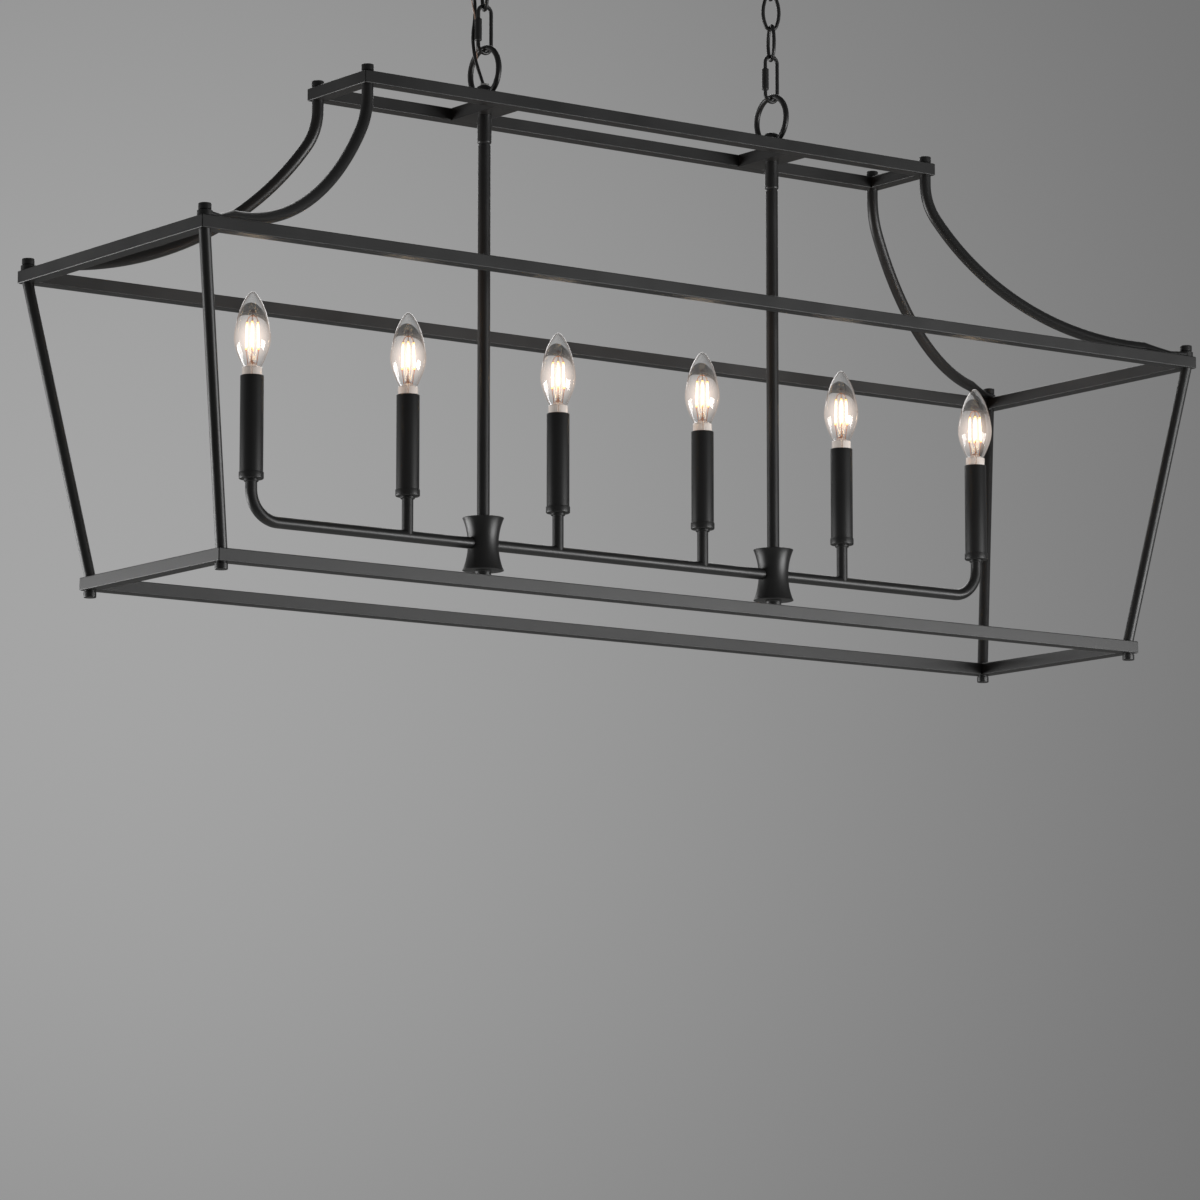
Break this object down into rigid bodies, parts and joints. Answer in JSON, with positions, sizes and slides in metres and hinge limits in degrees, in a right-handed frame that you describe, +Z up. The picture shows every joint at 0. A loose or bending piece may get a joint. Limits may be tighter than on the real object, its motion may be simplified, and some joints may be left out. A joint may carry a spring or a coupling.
{
  "type": "linear island pendant",
  "caption": "Linear cage pendant with candle lamps on a centre bar, hung from two round ceiling plates by short chains.",
  "frame": {"origin": "on the ceiling plane, midway between the two ceiling plates", "axes": "+X along the length of the frames, +Y across them, +Z up"},
  "size_m": [1.27, 0.346, 0.8002],
  "materials": {
    "black_powder_coat": "satin black powder coat",
    "zinc_steel": "zinc plated steel",
    "black_phenolic": "moulded, dull",
    "brass_shell": "rolled brass",
    "cable_jacket": "smooth black cable jacket",
    "bulb_glass": "clear blown glass",
    "bulb_filament": "glowing warm white filament strips on a clear glass stem",
    "bulb_base": "bright collar and screw cap"
  },
  "bodies": {
    "ceiling": {"canopies": "black_powder_coat", "mounting_straps": "zinc_steel", "canopy_nipples": "zinc_steel", "strap_nuts": "zinc_steel", "ring_nuts": "black_powder_coat", "upper_loops": "black_powder_coat"},
    "left_link": {"left_upper_link": "black_powder_coat"},
    "left_chain": {"left_lower_links": "black_powder_coat", "left_quick_link": "black_powder_coat", "supply_cable": "cable_jacket"},
    "left_nut": {"left_sleeve_nut": "black_powder_coat"},
    "right_link": {"right_upper_link": "black_powder_coat"},
    "right_chain": {"right_lower_links": "black_powder_coat", "right_quick_link": "black_powder_coat"},
    "right_nut": {"right_sleeve_nut": "black_powder_coat"},
    "pendant": {"frame_loops": "black_powder_coat", "stem_nipples": "zinc_steel", "top_frame_rails": "black_powder_coat", "top_crossbars": "black_powder_coat", "middle_frame_rails": "black_powder_coat", "bottom_frame_rails": "black_powder_coat", "curved_arm_front_left": "black_powder_coat", "curved_arm_front_right": "black_powder_coat", "curved_arm_back_left": "black_powder_coat", "curved_arm_back_right": "black_powder_coat", "corner_posts": "black_powder_coat", "corner_studs": "zinc_steel", "corner_nuts": "black_powder_coat", "stem_couplings": "black_powder_coat", "stems": "black_powder_coat", "hubs": "black_powder_coat", "hub_caps": "black_powder_coat", "arm_tube_left": "black_powder_coat", "arm_tube_middle": "black_powder_coat", "arm_tube_right": "black_powder_coat", "candle_stubs": "black_powder_coat", "candle_cups": "black_powder_coat", "candle_sleeves": "black_powder_coat", "socket_stems": "zinc_steel", "sockets": "black_phenolic", "socket_shells": "brass_shell", "internal_wires": "cable_jacket"},
    "bulb_1": {"bulb_1_glass": "bulb_glass", "bulb_1_filaments": "bulb_filament", "bulb_1_base": "bulb_base"},
    "bulb_2": {"bulb_2_glass": "bulb_glass", "bulb_2_filaments": "bulb_filament", "bulb_2_base": "bulb_base"},
    "bulb_3": {"bulb_3_glass": "bulb_glass", "bulb_3_filaments": "bulb_filament", "bulb_3_base": "bulb_base"},
    "bulb_4": {"bulb_4_glass": "bulb_glass", "bulb_4_filaments": "bulb_filament", "bulb_4_base": "bulb_base"},
    "bulb_5": {"bulb_5_glass": "bulb_glass", "bulb_5_filaments": "bulb_filament", "bulb_5_base": "bulb_base"},
    "bulb_6": {"bulb_6_glass": "bulb_glass", "bulb_6_filaments": "bulb_filament", "bulb_6_base": "bulb_base"}
  },
  "joints": [
    {"name": "left_swing", "type": "hinge", "parent": "ceiling", "child": "left_link", "pos_m": [-0.187, 0, -0.071], "axis": [1, 0, 0], "range_deg": [-8, 8], "deforming": ["supply_cable"]},
    {"name": "right_swing", "type": "hinge", "parent": "ceiling", "child": "right_link", "pos_m": [0.187, 0, -0.071], "axis": [1, 0, 0], "range_deg": [-8, 8]},
    {"name": "left_sway", "type": "hinge", "parent": "left_link", "child": "left_chain", "pos_m": [-0.187, 0, -0.1038], "axis": [0, 1, 0], "range_deg": [-6, 6]},
    {"name": "right_sway", "type": "hinge", "parent": "right_link", "child": "right_chain", "pos_m": [0.187, 0, -0.1038], "axis": [0, 1, 0], "range_deg": [-6, 6]},
    {"name": "frame_level", "type": "hinge", "parent": "left_chain", "child": "pendant", "pos_m": [-0.187, 0, -0.21075], "axis": [0, 1, 0], "range_deg": [-6, 6]},
    {"name": "left_nut_travel", "type": "slide", "parent": "left_chain", "child": "left_nut", "axis": [0, 0, 1], "range_m": [0, 0.006]},
    {"name": "right_nut_travel", "type": "slide", "parent": "right_chain", "child": "right_nut", "axis": [0, 0, 1], "range_m": [0, 0.006]},
    {"name": "bulb_1_lift", "type": "slide", "parent": "pendant", "child": "bulb_1", "axis": [0, 0, 1], "range_m": [0, 0.03]},
    {"name": "bulb_2_lift", "type": "slide", "parent": "pendant", "child": "bulb_2", "axis": [0, 0, 1], "range_m": [0, 0.03]},
    {"name": "bulb_3_lift", "type": "slide", "parent": "pendant", "child": "bulb_3", "axis": [0, 0, 1], "range_m": [0, 0.03]},
    {"name": "bulb_4_lift", "type": "slide", "parent": "pendant", "child": "bulb_4", "axis": [0, 0, 1], "range_m": [0, 0.03]},
    {"name": "bulb_5_lift", "type": "slide", "parent": "pendant", "child": "bulb_5", "axis": [0, 0, 1], "range_m": [0, 0.03]},
    {"name": "bulb_6_lift", "type": "slide", "parent": "pendant", "child": "bulb_6", "axis": [0, 0, 1], "range_m": [0, 0.03]}
  ],
  "couplings": [
    {"joint": "right_swing", "follows": "left_swing", "ratio": 1},
    {"joint": "right_sway", "follows": "left_sway", "ratio": 1},
    {"joint": "frame_level", "follows": "left_sway", "ratio": -1}
  ]
}
